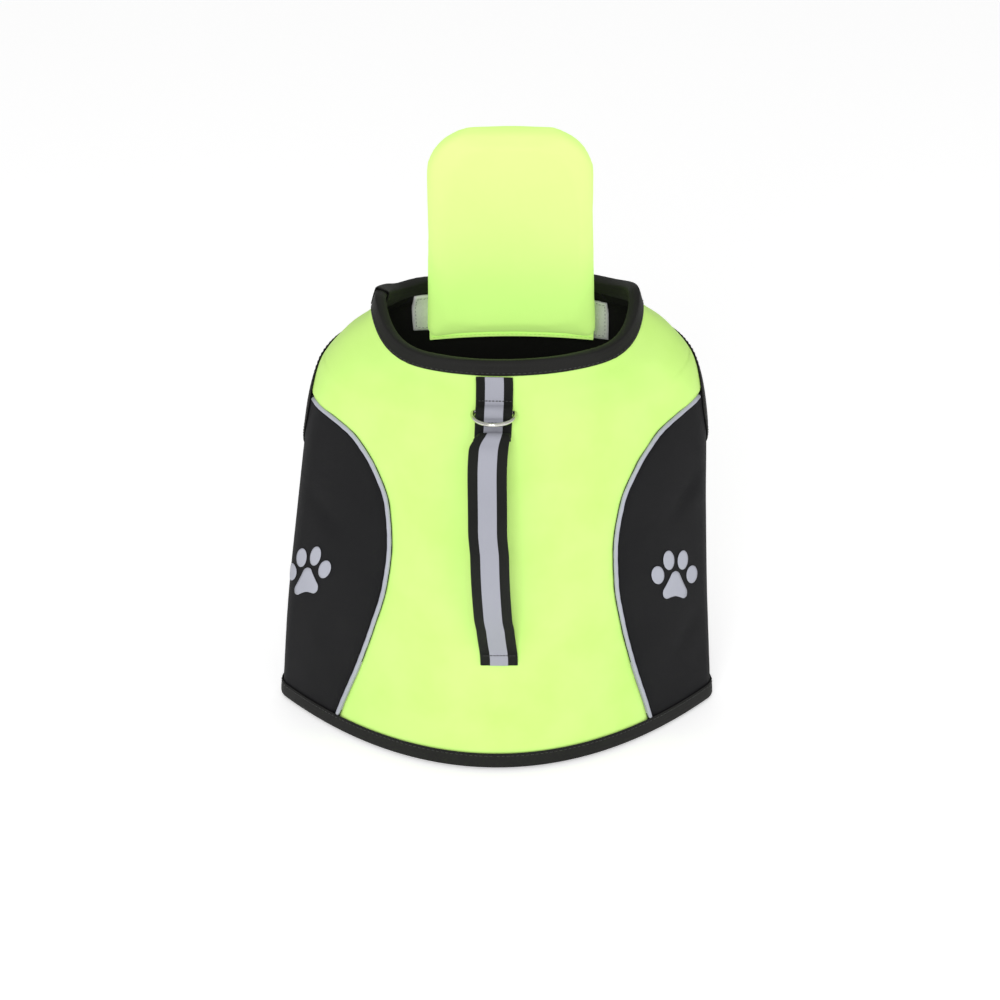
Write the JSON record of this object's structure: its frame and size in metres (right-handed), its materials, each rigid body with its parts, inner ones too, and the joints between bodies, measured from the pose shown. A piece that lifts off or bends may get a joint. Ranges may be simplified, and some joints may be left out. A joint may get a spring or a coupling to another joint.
{
  "type": "dog life jacket",
  "caption": "Hollow dog life jacket with a neck opening, leg holes, a padded chin float, a back handle and a hinged D-ring.",
  "frame": {"origin": "on the inner face of the back panel at its centre line, 150 mm above the hem, where the wearer's back holds it", "axes": "+Z from the hem to the neck, -Y out of the back panel, +X to the right as seen from behind the back panel"},
  "size_m": [0.317, 0.1871, 0.4143],
  "materials": {
    "neon_cloth": "fluorescent yellow-green woven polyester",
    "black_cloth": "black woven polyester over foam",
    "binding_tape": "black ribbed binding tape",
    "webbing": "black woven webbing",
    "reflective_tape": "grey retroreflective tape",
    "loop_tape": "grey brushed loop tape",
    "hook_tape": "black hook tape",
    "nickel_steel": "nickel-plated steel wire"
  },
  "bodies": {
    "jacket": {"back_panel": "neon_cloth", "belly_panel": "black_cloth", "side_panel_left": "black_cloth", "side_panel_right": "black_cloth", "neck_binding": "binding_tape", "hem_binding": "binding_tape", "leg_binding_left": "binding_tape", "leg_binding_right": "binding_tape", "piping_left": "reflective_tape", "piping_right": "reflective_tape", "neck_strap": "webbing", "neck_strap_tape": "reflective_tape", "handle": "webbing", "handle_tape": "reflective_tape", "chin_float": "neon_cloth", "chin_float_flange": "neon_cloth", "loop_strip": "loop_tape", "hook_strip": "hook_tape"},
    "ring": {"d_ring": "nickel_steel"}
  },
  "joints": [
    {"name": "ring_hinge", "type": "hinge", "parent": "jacket", "child": "ring", "pos_m": [-0.00816, 0.00766, 0.11283], "axis": [0.9994, -0.0332, 0], "range_deg": [-102, 16]}
  ]
}
